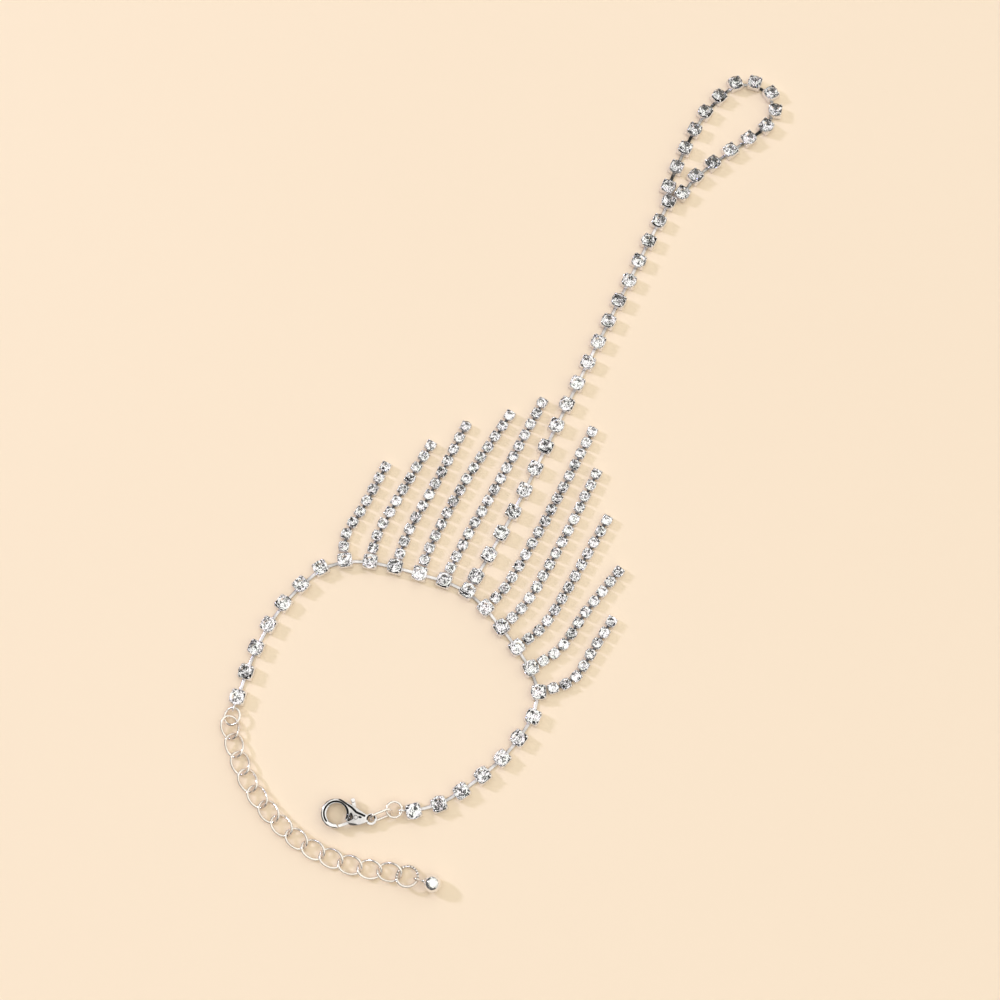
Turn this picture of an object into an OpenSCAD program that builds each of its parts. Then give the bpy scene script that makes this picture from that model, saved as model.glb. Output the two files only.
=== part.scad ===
// Hand chain bracelet, unclasped and lying flat: cup chain with cut stones round the wrist, a strand to
// the finger, a finger loop, a fringe of ten fine strands, a lobster clasp and an extender chain.
// Millimetres, +Z up, +Y towards the finger loop. The origin is the middle of the outline, on the surface.

/* [Large cups] */
// Side of a large cup
cup_w = 3.0; // [2.9:0.05:3.05]
// Height of a large cup's box
cup_h = 1.45; // [1.35:0.05:1.5]
// Radius of a large stone
stone_r = 1.31; // [1.25:0.01:1.31]
// Height of a large stone's flat top
stone_top = 2.1; // [2.0:0.05:2.2]
// Width of the flat bar between two large cups
bar_w = 0.7; // [0.5:0.05:0.8]

/* [Small cups] */
// Side of a small cup of the fringe
small_w = 2.1; // [2.0:0.05:2.15]
// Height of a small cup's box
small_h = 0.95; // [0.85:0.05:1.05]
// Radius of a small stone
small_r = 0.95; // [0.9:0.01:0.98]

/* [Extender and rings] */
// Length of an extender link over its wire
link_l = 5.0; // [4.95:0.05:5.1]
// Width of an extender link over its wire
link_w = 3.8; // [3.7:0.05:3.9]
// Radius of the extender's wire
link_wire = 0.27; // [0.24:0.01:0.28]
// Radius of the two jump rings' and the oval link's wire
ring_wire = 0.25; // [0.22:0.01:0.26]
// Radius of the end ring's wire
end_wire = 0.3; // [0.26:0.01:0.31]
// Radius of the ball on the end ring
ball_r = 1.65; // [1.5:0.05:1.7]

/* [Lobster clasp] */
// Radius of the opening in the claw
claw_hole_r = 1.9; // [1.85:0.01:1.95]
// Thickness of the lever that closes the claw
lever_t = 0.7; // [0.6:0.05:0.75]
// Radius of the pin that the lever turns on
pin_r = 0.35; // [0.3:0.01:0.36]

/* [Hidden] */
$fn = 32;
eps = 0.01;
// How far a cut passes what it cuts through
cut_past = 0.5;

// Middle of the outline in the plan that the routes below are drawn in
plan_mid = [3.67, 9.64];

// Large cup: its floor, cut corners, side windows, prongs, and the gap round the stone
cup_floor = 0.6;
cup_corner = 1.9;
stone_gap = 0.05;
window_r = 0.75;
window_up = 0.15;
prong_r = 0.2;
prong_tip = 0.25;
prong_foot = [1.65, 0.5];
prong_l = 1.4;
prong_lean = 4.5;

// Large stone: heights of its point and girdle, and the radius of its flat top
culet_z = 0.66;
girdle_z = 1.6;
table_r = 0.74;

// Flat bar from a cup to the one before it, and the room under a cup's two ends that bars lie in
bar_z = 0.1;
bar_t = 0.26;
bar_root = 0.3;
bar_in = 0.05;
room_h = 0.47;
room_in = 0.55;

// Small cup, its leaning prongs, its stub towards the cup before it, and its stone
small_corner = 1.36;
small_prong_r = 0.17;
small_prong_foot = [1.22, 0.6];
small_prong_l = 0.85;
small_prong_lean = 15;
stub_w = 0.6;
stub_t = 0.25;
stub_clear = 0.2;
small_culet_z = 0.3;
small_girdle_z = 1.15;
small_table_z = 1.5;
small_table_r = 0.52;

// Small upright loops: on the two end cups, and on the ball
loop_r = 0.6;
loop_wire = 0.2;
loop_out = 2.18;
extender_loop_z = 0.95;
clasp_loop_z = 1.1;
ball_loop_r = 0.68;

// Routes in the plan, with a smooth curve through each list of points
curve_steps = 12;
// Band round the wrist from the extender to the clasp, whose hub knot is where the hand strand starts
wrist_route = [
    [-50.4, -39.6], [-47.5, -30.4], [-42.4, -21.3], [-35.3, -14.2], [-31, -12.7], [-26, -12.8],
    [-16, -15.2], [-6.4, -18.8], [0.3, -26.1], [6, -34.2], [7.5, -38.8], [6.4, -43.3],
    [0.6, -51.1], [-7.2, -57.4], [-11.7, -60], [-16.3, -61.1]
];
hub_knot = 7;
half_band = 12;
wrist_n = 2 * half_band + 1;
// Strand over the back of the hand, after the hub
hand_route = [[2.3, -3.4], [13.2, 19.1], [24.3, 42], [35.6, 65.1]];
hand_n = 19;
hub_gap = 3.35;
hub_clear = 0.25;
// Loop round the finger, with its cups closer together round the bend
finger_route = [
    [35.6, 68.7], [39.5, 77.7], [44.1, 86.3], [50.7, 93.2], [55.2, 93.5], [58.6, 90.8],
    [59.2, 86.8], [57, 83], [49, 77.1], [41.2, 70.8], [38.6, 67.2]
];
finger_n = 16;
finger_pitch = 4.9;
bend_first = 6;
bend_last = 10;
// Extender, whose links lie closer together before the slack knot
extender_route = [
    [-51.6, -45.4], [-50.1, -50.3], [-47.6, -55.7], [-44.4, -60.2], [-41, -63.8],
    [-36.7, -67.2], [-31.5, -69.8], [-26, -71.5], [-20.6, -72.3]
];
slack_knot = 4;
half_extender = 6;
link_n = 2 * half_extender + 1;

// Fringe. Columns: the band cup it hangs on (counted from 0), its number of cups, and three points
// of its route after that cup: shoulder, waist and tip
fringe_gap = 2.85;
fringes = [
    [7, 8, [-30.6, -7.6], [-27, -1.2], [-23, 6.7]],
    [8, 10, [-24.3, -7.5], [-19.5, 1.7], [-14, 11.2]],
    [9, 12, [-18, -6.4], [-13, 3], [-7, 15.2]],
    [10, 14, [-13, -8], [-6.8, 3.9], [1.9, 17.6]],
    [11, 16, [-6.6, -7.9], [-0.2, 3.6], [8.6, 20.3]],
    [13, 16, [1.8, -16.9], [9.9, -2.8], [18.6, 14.1]],
    [14, 14, [5.3, -20.9], [12.2, -9], [19.3, 5.2]],
    [15, 12, [8.8, -25.3], [14.6, -16], [21.2, -4.4]],
    [16, 10, [11.8, -30], [16.5, -23.3], [23.3, -14.9]],
    [17, 8, [14, -36.3], [18.5, -29.8], [21.7, -24.9]]
];
fringe_n = len(fringes);

// Extender link: a wire oval, twisted so that flat links pass through each other
link_a = link_l / 2 - link_wire;
link_b = link_w / 2 - link_wire;
link_twist = 0.28;
link_z = 0.75;
link_segments = 16;
wire_sides = 6;

// Rings, each as radius of its wire's middle, height, roll along the chain and pitch
extender_ring_r = 1.65;
extender_ring_z = 0.95;
extender_ring_roll = 20;
clasp_ring_r = 1.45;
clasp_ring_z = 1.1;
end_ring_r = 2.0;
end_ring_z = 1.05;
end_ring_roll = -20;
end_ring_pitch = -8;
end_ring_at = [-17.25, -73.1];
ball_at = [-12.6, -74.4];
neck_r = 0.28;

// Oval link between the clasp's eye and its ring, rolled on its side
oval_half_l = 2.05;
oval_half_w = 1.0;
oval_roll = 60;
oval_back = 0.05;

// Clasp, in its own plan with the middle of the claw's opening at [0, 0] and the eye along +X
clasp_at = [-30.675, -61.64];
clasp_turn = -9;
clasp_mid_z = 1.15;
claw_centre = [-0.2, 0];
claw_r = 2.78;
claw_torus = [2.3, 1.0];
eye_at = [6.55, 0];
eye_r = 1.12;
eye_hole_r = 0.62;
eye_t = 0.7;
crown_r = 4.2;
crown_half = 1.1;
crown_y = 0.3;
crown_l = 20;
pivot = [3.68, -0.15];
pin_gap = 0.02;
bore_gap = 0.05;
boss_r = 0.75;
pin_half = 0.84;
side_gap = 0.1;
arm_w = 0.74;
knob_at = [2.6, 2.9];
knob_r = 0.42;
knob_t = 1.1;
// Outline of the housing, from the top of the claw round the eye's neck to the gate
housing = [
    [-0.3, 2.77], [0.65, 2.7], [1.3, 2.48], [1.9, 2.25], [2.7, 1.98], [3.3, 1.76], [4, 1.43], [4.7, 1.1],
    [5.4, 0.8], [6.08, 0.62], [6.08, -0.62], [5.45, -0.93], [4.76, -1.35], [4.03, -1.6], [3.3, -1.7],
    [2.68, -1.7], [2.28, -1.2], [1.5, 0.6], [-0.3, 1.6]
];
// Side view of the housing, half of it above the middle
side_view = [[-0.5, 1.1], [2.38, 1.1], [5.68, 0.55], [6.68, 0.35]];
side_view_w = 8;
// Three-cornered window in each side of the housing, between the throat and the pin
window = [[2.36, -0.95], [3.12, -0.42], [2.7, 0.32]];
// Mouth of the claw, between its nose and the housing, as far as the circle that the lever's tip passes
mouth = [[-0.62, -0.9], [-0.62, -3.2], [2.63, -3.2], [2.63, -1.72], [2.23, -1.18], [1.38, -0.5]];
mouth_r = 3.75;
// Gate arm of the lever from the pivot to its tip
gate = [
    [3.88, -0.85], [2.78, -1.5], [1.68, -2.08], [0.83, -2.45],
    [0.51, -1.98], [1.58, -1.5], [2.78, -0.8], [3.28, 0.4]
];
// Room in the housing for the lever between shut and open
lever_room = [
    [1.83, 3.4], [4.53, 3.4], [4.68, 0.2], [4.53, -0.6], [4.08, -1.1],
    [3.28, -2], [1.38, -3], [1.2, -0.5], [1.5, 0.6], [2.58, 0.7]
];

// Smooth curve through the points of p: the place at t, 0 to 1, between knots i and i + 1
function curve_at(p, i, t) =
    let (
        last = len(p) - 1,
        b = p[i],
        c = p[i + 1],
        a = i > 0 ? p[i - 1] : 2 * b - c,
        d = i + 1 < last ? p[i + 2] : 2 * c - b
    )
    0.5 * (2 * b + (c - a) * t + (2 * a - 5 * b + 4 * c - d) * t * t + (3 * b - a - 3 * c + d) * t * t * t);

// The whole curve in short straight steps
function steps_of(p) = concat(
    [for (i = [0 : len(p) - 2], k = [0 : curve_steps - 1]) curve_at(p, i, k / curve_steps)],
    [p[len(p) - 1]]
);

// Distance along the steps q at each of them
function runs_of(q) = [
    for (i = 0, run = 0; i < len(q); i = i + 1, run = i < len(q) ? run + norm(q[i] - q[i - 1]) : run) run
];

// Places at the distances s along the route p, each as [x, y, heading]
function places(p, s) =
    let (
        q = steps_of(p),
        runs = runs_of(q),
        xs = [for (i = [0 : len(q) - 1]) [runs[i], q[i][0]]],
        ys = [for (i = [0 : len(q) - 1]) [runs[i], q[i][1]]],
        d = 0.4
    )
    [for (v = s)
        let (dx = lookup(v + d, xs) - lookup(v - d, xs), dy = lookup(v + d, ys) - lookup(v - d, ys))
        [lookup(v, xs), lookup(v, ys), atan2(dy, dx)]
    ];

// Distance along the route p at its knot k, and along all of it
function run_at(p, k) = runs_of(steps_of(p))[k * curve_steps];
function run_all(p) = run_at(p, len(p) - 1);

// Distances of 2 * half + 1 even seats, half of them before the knot k and half after it
function even_halves(p, k, half) =
    let (m = run_at(p, k), all = run_all(p))
    [for (i = [0 : 2 * half]) i <= half ? m * i / half : m + (all - m) * (i - half) / half];

// Distances of n even seats from the distance first to the end of the route p
function even_from(p, first, n) =
    let (all = run_all(p)) [for (i = [0 : n - 1]) first + (all - first) * i / (n - 1)];

function plan_of(seat) = [seat[0], seat[1]];
function along(turn, d) = [d * cos(turn), d * sin(turn)];
function heading_of(v) = atan2(v[1], v[0]);

wrist_seats = places(wrist_route, even_halves(wrist_route, hub_knot, half_band));
hub = plan_of(wrist_seats[half_band]);
hand_path = concat([hub], hand_route);
hand_seats = places(hand_path, even_from(hand_path, hub_gap, hand_n));
finger_run = run_all(finger_route);
bend_from = bend_first * finger_pitch;
bend_to = finger_run - (finger_n - 1 - bend_last) * finger_pitch;
finger_seats = places(finger_route, [
    for (i = [0 : finger_n - 1])
        i <= bend_first ? i * finger_pitch
        : i >= bend_last ? finger_run - (finger_n - 1 - i) * finger_pitch
        : bend_from + (bend_to - bend_from) * (i - bend_first) / (bend_last - bend_first)
]);
link_seats = places(extender_route, even_halves(extender_route, slack_knot, half_extender));

function fringe_path(row) = concat([plan_of(wrist_seats[row[0]])], [row[2], row[3], row[4]]);
function fringe_seats(row) = let (p = fringe_path(row)) places(p, even_from(p, fringe_gap, row[1]));

// Upright loop of an end cup: its middle, for a cup at seat that looks out along turn
function loop_at(seat, turn, aside) = plan_of(seat) + along(turn + aside, loop_out);

extender_out = wrist_seats[0][2] + 180;
extender_loop = loop_at(wrist_seats[0], extender_out, 0);
extender_ring_turn = heading_of(plan_of(link_seats[0]) - extender_loop);
extender_ring_at = extender_loop + along(extender_ring_turn, extender_ring_r);

clasp_out = wrist_seats[wrist_n - 1][2];
clasp_loop_aside = -15;
clasp_loop = loop_at(wrist_seats[wrist_n - 1], clasp_out, clasp_loop_aside);
clasp_loop_turn = 175;
clasp_ring_at = clasp_loop + along(clasp_loop_turn, clasp_ring_r);

function clasp_plan(p) = clasp_at + [
    p[0] * cos(clasp_turn) - p[1] * sin(clasp_turn),
    p[0] * sin(clasp_turn) + p[1] * cos(clasp_turn)
];
clasp_eye = clasp_plan(eye_at);
oval_turn = heading_of(clasp_ring_at - clasp_eye);
oval_at = clasp_eye + along(oval_turn, oval_half_l - oval_back);

end_ring_turn = heading_of(end_ring_at - plan_of(link_seats[link_n - 1]));
ball_turn = heading_of(ball_at - end_ring_at);
ball_loop = end_ring_at + along(ball_turn, end_ring_r);
ball_loop_z = end_ring_z - end_ring_r * sin(end_ring_pitch);

// Everything below is placed in the plan and moved so that the outline's middle is the origin
module placed(seat) {
    translate([seat[0] - plan_mid[0], seat[1] - plan_mid[1], 0])
        rotate(seat[2])
            children();
}

// Box with cut corners, standing on the surface
module cut_box(side, corner, h) {
    intersection() {
        translate([-side / 2, -side / 2, 0])
            cube([side, side, h]);
        rotate(45)
            translate([-corner, -corner, 0])
                cube([2 * corner, 2 * corner, h]);
    }
}

module torus(r, wire) {
    rotate_extrude()
        translate([r, 0])
            circle(r = wire);
}

// Upright loop whose hole runs across X
module upright_loop(r) {
    rotate([90, 0, 0])
        torus(r, loop_wire);
}

// Four-prong cup with an open pocket, side windows, and room for the bars at its foot's two ends
module large_cup() {
    difference() {
        cut_box(cup_w, cup_corner, cup_h);
        translate([0, 0, cup_floor])
            cylinder(r = stone_r + stone_gap, h = cup_h);
        for (a = [0, 90])
            rotate(a)
                translate([0, 0, cup_h + window_up])
                    rotate([90, 0, 0])
                        cylinder(r = window_r, h = cup_w + 2 * cut_past, center = true);
        for (side = [-1, 1])
            translate([side * cup_w / 2, 0, room_h / 2 - eps])
                cube([2 * room_in, cup_w + 2 * cut_past, room_h + 2 * eps], center = true);
    }
    for (a = [45 : 90 : 315])
        rotate(a)
            translate([prong_foot[0], 0, prong_foot[1]])
                rotate([0, -prong_lean, 0]) {
                    cylinder(r = prong_r, h = prong_l);
                    translate([0, 0, prong_l])
                        sphere(r = prong_tip);
                }
}

// Flat bar from the foot of a cup at seat towards the place p, ending at the distance reach
module bar(seat, p, reach) {
    bar_from = cup_w / 2 - room_in - bar_root;
    placed([seat[0], seat[1], heading_of(p - plan_of(seat))])
        translate([bar_from, -bar_w / 2, bar_z])
            cube([reach - bar_from, bar_w, bar_t]);
}

// Cups of a chain, each with its bar to the cup before it
module cup_run(seats) {
    for (i = [0 : len(seats) - 1])
        union() {
            placed(seats[i])
                large_cup();
            if (i > 0)
                let (before = plan_of(seats[i - 1]))
                bar(seats[i], before, norm(before - plan_of(seats[i])) - cup_w / 2 + bar_in);
        }
}

// Cut stone with a flat eight-sided top, 24 crown facets and a 16-sided point below
module large_stone() {
    crown = 17;
    girdle = function(i) 1 + (i + 16) % 16;
    top = function(j) crown + (j + 8) % 8;
    points = concat(
        [[0, 0, culet_z]],
        [for (i = [0 : 15]) [stone_r * cos(22.5 * i), stone_r * sin(22.5 * i), girdle_z]],
        [for (j = [0 : 7]) [table_r * cos(45 * j), table_r * sin(45 * j), stone_top]]
    );
    faces = concat(
        [[for (j = [7 : -1 : 0]) top(j)]],
        [for (j = [0 : 7]) [top(j), girdle(2 * j), girdle(2 * j - 1)]],
        [for (j = [0 : 7]) [top(j), girdle(2 * j + 1), girdle(2 * j)]],
        [for (j = [0 : 7]) [top(j), top(j + 1), girdle(2 * j + 1)]],
        [for (i = [0 : 15]) [girdle(i), girdle(i + 1), 0]]
    );
    polyhedron(points, faces);
}

module stone_run(seats) {
    for (seat = seats)
        placed(seat)
            large_stone();
}

// Small stone: flat eight-sided top and 16 crown facets over a point that the cup hides
module small_stone() {
    girdle = function(i) 1 + (i + 8) % 8;
    top = function(i) 9 + (i + 8) % 8;
    points = concat(
        [[0, 0, small_culet_z]],
        [for (i = [0 : 7]) [small_r * cos(45 * i), small_r * sin(45 * i), small_girdle_z]],
        [for (i = [0 : 7])
            [small_table_r * cos(45 * i + 22.5), small_table_r * sin(45 * i + 22.5), small_table_z]]
    );
    faces = concat(
        [[for (i = [7 : -1 : 0]) top(i)]],
        [for (i = [0 : 7]) [top(i), girdle(i + 1), girdle(i)]],
        [for (i = [0 : 7]) [top(i), top(i + 1), girdle(i + 1)]],
        [for (i = [0 : 7]) [girdle(i), girdle(i + 1), 0]]
    );
    polyhedron(points, faces);
}

// Small cup with its stone set in it
module small_cup() {
    cut_box(small_w, small_corner, small_h);
    small_stone();
    for (a = [45 : 90 : 315])
        rotate(a)
            translate([small_prong_foot[0], 0, small_prong_foot[1]])
                rotate([0, -small_prong_lean, 0])
                    cylinder(r = small_prong_r, h = small_prong_l);
}

// Stub of a small cup at seat towards the middle of the cup before it
module stub(seat, before) {
    placed([seat[0], seat[1], heading_of(before - plan_of(seat))])
        translate([0, -stub_w / 2, bar_z])
            cube([norm(before - plan_of(seat)) - small_w / 2 - stub_clear, stub_w, stub_t]);
}

module fringe(k) {
    color("gainsboro") {
        seats = fringe_seats(fringes[k - 1]);
        for (i = [0 : len(seats) - 1])
            union() {
                placed(seats[i])
                    small_cup();
                if (i > 0)
                    stub(seats[i], plan_of(seats[i - 1]));
            }
    }
}

module wrist_cups() {
    color("silver") {
        cup_run(wrist_seats);
        placed([extender_loop[0], extender_loop[1], extender_out])
            translate([0, 0, extender_loop_z])
                upright_loop(loop_r);
        placed([clasp_loop[0], clasp_loop[1], clasp_loop_turn])
            translate([0, 0, clasp_loop_z])
                upright_loop(loop_r);
    }
}

module wrist_stones() {
    color("aliceblue")
        stone_run(wrist_seats);
}

module hand_cups() {
    color("silver") {
        cup_run(hand_seats);
        bar(hand_seats[0], hub, hub_gap - cup_w / 2 - hub_clear);
    }
}

module hand_stones() {
    color("aliceblue")
        stone_run(hand_seats);
}

module finger_cups() {
    color("silver")
        cup_run(finger_seats);
}

module finger_stones() {
    color("aliceblue")
        stone_run(finger_seats);
}

// One point of the extender link's wire: turn t round the link, turn u round the wire
function link_middle(t) =
    let (x = link_a * cos(t), y = link_b * sin(t)) [x, y, link_twist * x * y];
function link_point(t, u) =
    let (
        before = link_middle(t - 1),
        after = link_middle(t + 1),
        run = (after - before) / norm(after - before),
        side = cross(run, [0, 0, 1]),
        out = side / norm(side),
        up = cross(out, run)
    )
    link_middle(t) + link_wire * (cos(u) * out + sin(u) * up);

module extender_link(k) {
    seat = link_seats[k - 1];
    points = [
        for (i = [0 : link_segments - 1], j = [0 : wire_sides - 1])
            link_point(360 * i / link_segments, 360 * j / wire_sides)
    ];
    at = function(i, j) (i % link_segments) * wire_sides + j % wire_sides;
    faces = [
        for (i = [0 : link_segments - 1], j = [0 : wire_sides - 1])
            each [
                [at(i, j), at(i, j + 1), at(i + 1, j)],
                [at(i, j + 1), at(i + 1, j + 1), at(i + 1, j)]
            ]
    ];
    color("silver")
        placed(seat)
            translate([0, 0, link_z])
                polyhedron(points, faces);
}

module extender_ring() {
    color("silver")
        placed([extender_ring_at[0], extender_ring_at[1], extender_ring_turn])
            translate([0, 0, extender_ring_z])
                rotate([extender_ring_roll, 0, 0])
                    torus(extender_ring_r, ring_wire);
}

module clasp_ring() {
    color("silver")
        placed([clasp_ring_at[0], clasp_ring_at[1], oval_turn])
            translate([0, 0, clasp_ring_z])
                torus(clasp_ring_r, ring_wire);
}

// Oval of round wire: two half rings and two straight sides
module clasp_link() {
    straight = oval_half_l - oval_half_w;
    color("silver")
        placed([oval_at[0], oval_at[1], oval_turn])
            translate([0, 0, clasp_mid_z])
                rotate([oval_roll, 0, 0])
                    for (a = [0, 180])
                        rotate(a) {
                            translate([straight, 0, 0])
                                rotate([0, 0, -90])
                                    rotate_extrude(angle = 180)
                                        translate([oval_half_w, 0])
                                            circle(r = ring_wire);
                            translate([-straight, oval_half_w, 0])
                                rotate([0, 90, 0])
                                    cylinder(r = ring_wire, h = 2 * straight);
                        }
}

module end_ring() {
    color("silver")
        placed([end_ring_at[0], end_ring_at[1], end_ring_turn])
            translate([0, 0, end_ring_z])
                rotate([end_ring_roll, end_ring_pitch, 0])
                    torus(end_ring_r, end_wire);
}

module end_ball() {
    ball_out = norm(ball_at - ball_loop);
    color("silver")
        placed([ball_loop[0], ball_loop[1], ball_turn]) {
            translate([0, 0, ball_loop_z])
                upright_loop(ball_loop_r);
            translate([ball_loop_r, 0, ball_loop_z])
                rotate([0, 90, 0])
                    cylinder(r = neck_r, h = ball_out - ball_r);
            translate([ball_out, 0, ball_r])
                sphere(r = ball_r);
        }
}

// Clasp pieces are drawn in the clasp's own plan, about the middle of its thickness
module clasp_placed() {
    placed([clasp_at[0], clasp_at[1], clasp_turn])
        translate([0, 0, clasp_mid_z])
            children();
}

module slab(outline, t) {
    linear_extrude(height = t, center = true)
        polygon(outline);
}

// Round bar along X whose far side is the crowned top (side -1) or bottom (side 1) of the housing
module crown(side) {
    translate([0, crown_y, side * (crown_r - crown_half)])
        rotate([0, 90, 0])
            cylinder(r = crown_r, h = crown_l, center = true);
}

// Housing: its outline, its side view and its rounded top and bottom together
module clasp_housing() {
    mirrored = [for (i = [len(side_view) - 1 : -1 : 0]) [side_view[i][0], -side_view[i][1]]];
    intersection() {
        slab(housing, 2 * crown_half);
        rotate([90, 0, 0])
            slab(concat(side_view, mirrored), side_view_w);
        crown(-1);
        crown(1);
    }
}

module clasp_body() {
    through = 2 * (crown_half + cut_past);
    color("silver")
        clasp_placed()
            difference() {
                union() {
                    intersection() {
                        translate(claw_centre)
                            torus(claw_torus[0], claw_torus[1]);
                        translate(claw_centre)
                            cylinder(r = claw_r, h = through, center = true);
                    }
                    clasp_housing();
                    translate(eye_at)
                        cylinder(r = eye_r, h = eye_t, center = true);
                }
                cylinder(r = claw_hole_r, h = through, center = true);
                intersection() {
                    slab(mouth, through);
                    translate(pivot)
                        cylinder(r = mouth_r, h = through, center = true);
                }
                slab(lever_room, lever_t + 2 * side_gap);
                slab(window, through);
                translate(eye_at)
                    cylinder(r = eye_hole_r, h = through, center = true);
                translate(pivot)
                    cylinder(r = pin_r + pin_gap, h = through, center = true);
            }
}

// Lever: boss on the pin, gate arm across the mouth, and arm up to the thumb knob
module clasp_lever() {
    arm = knob_at - pivot;
    color("gainsboro")
        clasp_placed()
            difference() {
                union() {
                    slab(gate, lever_t);
                    translate(pivot)
                        cylinder(r = boss_r, h = lever_t, center = true);
                    translate(pivot)
                        rotate(heading_of(arm))
                            translate([norm(arm) / 2, 0, 0])
                                cube([norm(arm), arm_w, lever_t], center = true);
                    translate(knob_at)
                        cylinder(r = knob_r, h = knob_t, center = true);
                }
                translate(pivot)
                    cylinder(r = pin_r + bore_gap, h = lever_t + 2 * cut_past, center = true);
            }
}

module clasp_pin() {
    color("silver")
        clasp_placed()
            translate(pivot)
                cylinder(r = pin_r, h = 2 * pin_half, center = true);
}

wrist_cups();
wrist_stones();
hand_cups();
hand_stones();
finger_cups();
finger_stones();
for (i = [1 : fringe_n])
    fringe(i);
clasp_body();
clasp_lever();
clasp_pin();
clasp_link();
clasp_ring();
extender_ring();
for (i = [1 : link_n])
    extender_link(i);
end_ring();
end_ball();
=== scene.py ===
"""Hand chain bracelet of silver cup chain and cut stones, lying unclasped on a pale surface.

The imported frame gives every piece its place. The pieces here are the finished look of each of its
parts: settings, stones, straps between them, wire links and rings, the ball and the clasp.
"""

import math

import bmesh
import bpy
import numpy as np
from mathutils import Matrix, Vector


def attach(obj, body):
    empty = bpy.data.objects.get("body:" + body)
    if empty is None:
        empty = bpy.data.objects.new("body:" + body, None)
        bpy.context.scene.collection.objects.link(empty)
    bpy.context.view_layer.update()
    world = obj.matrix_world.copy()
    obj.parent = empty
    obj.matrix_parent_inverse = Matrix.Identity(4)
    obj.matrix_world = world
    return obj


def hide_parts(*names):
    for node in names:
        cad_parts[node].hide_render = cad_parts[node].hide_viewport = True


MM = 0.001

# Bodies, the strings of large cups that nodes are named for, and how many strands and links there are
BODY = "bracelet"
LEVER_BODY = "lever"
STRINGS = ("wrist", "hand", "finger")
FRINGES = 10
LINKS = 13

# Points of a solid that are nearer than this are one: in metres, and in millimetres on a cast piece
SAME_POINT = 1e-7
SAME_CAST_POINT = 1e-4

# Marks that meshes carry: faces with the back's finish, which is painted shade on a setting, points
# darkened with painted shade, and how each copy lies
HIDDEN_SIDE = "hidden side"
SHADE = "shade"
TURN = "turn"
STRETCH = "stretch"

# Sizes are in millimetres where nothing else is said.
# Large setting, and the small one of the fringe. A prong's rows are its sections from the foot up:
# distance out, height, half width and half thickness.
SETTING = {
    "half": 1.49, "square": 12, "foot": 0.02, "floor": 0.34, "low": 1.2, "high": 1.52, "wall": 0.18,
    "steps": 48, "prong_sides": 8,
    "prong": [
        (1.72, 0.5, 0.28, 0.1), (1.75, 1.2, 0.28, 0.12), (1.7, 1.55, 0.27, 0.13),
        (1.57, 1.79, 0.24, 0.13), (1.42, 1.92, 0.2, 0.12), (1.28, 1.97, 0.15, 0.1),
    ],
}
SMALL_SETTING = {
    "half": 1.07, "square": 12, "foot": 0.02, "floor": 0.22, "low": 0.86, "high": 1.1, "wall": 0.16,
    "steps": 24, "prong_sides": 6,
    "prong": [
        (1.23, 0.4, 0.21, 0.08), (1.26, 0.88, 0.21, 0.1), (1.21, 1.16, 0.19, 0.1),
        (1.1, 1.34, 0.16, 0.1), (0.96, 1.39, 0.12, 0.08),
    ],
}
# A setting's wall in section, as (inset, share of the height): the outer side is inset from the
# outline, the rim's top and the inner side from the inner face of the sheet
OUTER_WALL = ((0.12, 0.0), (0.03, 0.05), (0.0, 0.16), (0.0, 0.5), (0.02, 0.72), (0.07, 0.9), (0.12, 1.0))
RIM_TOP = ((0.0, 1.01), (0.03, 0.96))
INNER_WALL = ((0.03, 0.7), (0.05, 0.0))
SCALLOP = 1.6
PRONG_BLUNT = 0.6
PRONG_DROOP = 0.03
# What counts as a setting's hidden side, which takes painted shade: faces turned this far inwards, or this
# far up near its floor
FACES_IN = 0.5
FACES_UP = 0.9
FLOOR_REACH = 0.1

# Stones: radius of the girdle and of the table, then heights of culet, girdle and table
STONE = {"girdle": 1.43, "table": 0.78, "culet_z": 0.4, "girdle_z": 1.6, "table_z": 2.12}
SMALL_STONE = {"girdle": 1.03, "table": 0.56, "culet_z": 0.26, "girdle_z": 1.14, "table_z": 1.52}
GIRDLE_BAND = 0.05
# Large facets round the table, and how far out the kites' side corners lie: as a share of the middle
# between table and girdle above, and as a share of the girdle below
FOLD = 12
CROWN_KITES = 1.03
UNDER_KITES = 0.42
# Points of a small cup's solid that are higher than this far below the stone's table are the table's
TABLE_SKIN = 0.05

# Straps between cups: width, thickness and height of the middle, how far they reach under each cup,
# the corners and squareness of their section, and their waist as (share of length, share of width)
STRAP = (0.7, 0.24, 0.24)
SMALL_STRAP = (0.6, 0.22, 0.24)
STRAP_REACH = 0.3
STRAP_SIDES = 14
STRAP_CROWN = 0.8
STRAP_WAIST = ((-0.5, 1), (-0.3, 0.97), (0, 0.93), (0.3, 0.97), (0.5, 1))

# How far cups, straps and stones lean their own way, and the seed that each kind counts up from
SETTING_TILT = math.radians(1.2)
STRAP_TILT = math.radians(8)
STONE_TILT = math.radians(7)
STRAP_SEED = 40
STONE_SEED = 10
SMALL_STONE_SEED = 20

# Wire: steps round a loop and round the wire, radii of the wires, and the sizes of the loops
WIRE_STEPS = 56
WIRE_SIDES = 14
LINK_HALVES = (2.24, 1.64)
LINK_TWIST = 0.28
LINK_WIRE = 0.255
RING_WIRE = 0.25
END_WIRE = 0.3
RING_R = {"extender_ring": 1.65, "clasp_ring": 1.45, "end_ring": 2.0}
OVAL_HALVES = (2.05, 1.0)
LOOP_R = 0.6
LOOP_WIRE = 0.2
LOOP_OUT = 2.18
EXTENDER_LOOP_Z = 0.95
CLASP_LOOP_Z = 1.1
CLASP_LOOP_ASIDE = math.radians(-15)
CLASP_LOOP_TURN = math.radians(175)

# Notches of the end ring: how many, the ring's finer steps, their depth and the darkness of the painted
# shade in them, and how they run out towards the ring's near side
NOTCHES = 22
NOTCH_STEPS = 256
NOTCH_DEPTH = 0.35
NOTCH_SHADE = 0.8
NOTCH_FADE = 2
NOTCH_START = 0.9

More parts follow.
